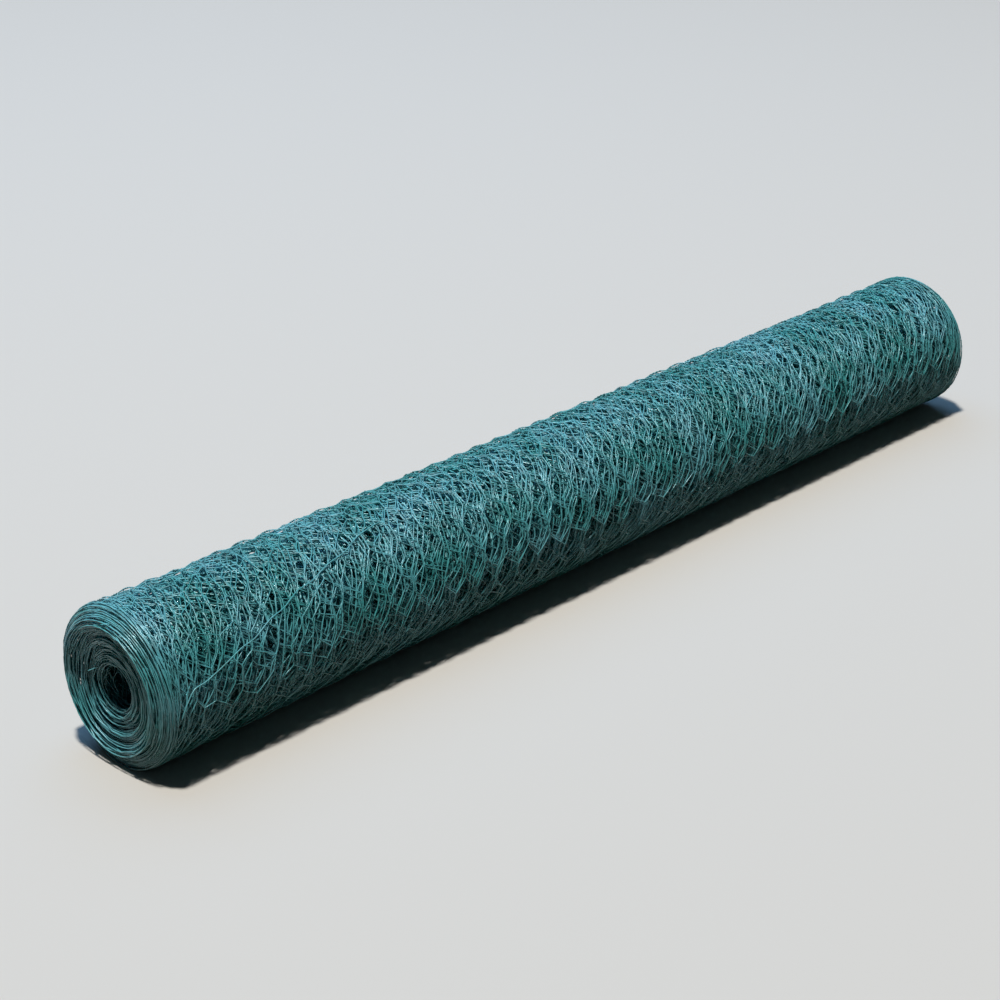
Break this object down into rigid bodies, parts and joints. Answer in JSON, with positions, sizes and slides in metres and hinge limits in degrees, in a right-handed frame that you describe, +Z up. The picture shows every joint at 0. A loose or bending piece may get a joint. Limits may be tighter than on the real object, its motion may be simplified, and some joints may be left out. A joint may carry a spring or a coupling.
{
  "type": "roll of wire netting",
  "caption": "Roll of green plastic-coated hexagonal wire netting, wound around an open bore, for fencing, animal runs and plant guards.",
  "frame": {"origin": "on the floor under the middle of the roll, at the centre of the underside of its box", "axes": "+X along the roll's axis, from the end that faces the camera in the picture to the far end; +Z up; +Y away from the side that faces the camera"},
  "size_m": [1, 0.124, 0.1239],
  "materials": {
    "coated_wire": "satin green plastic coat over galvanised steel wire"
  },
  "bodies": {
    "root": {"netting_roll": "coated_wire"}
  },
  "joints": []
}
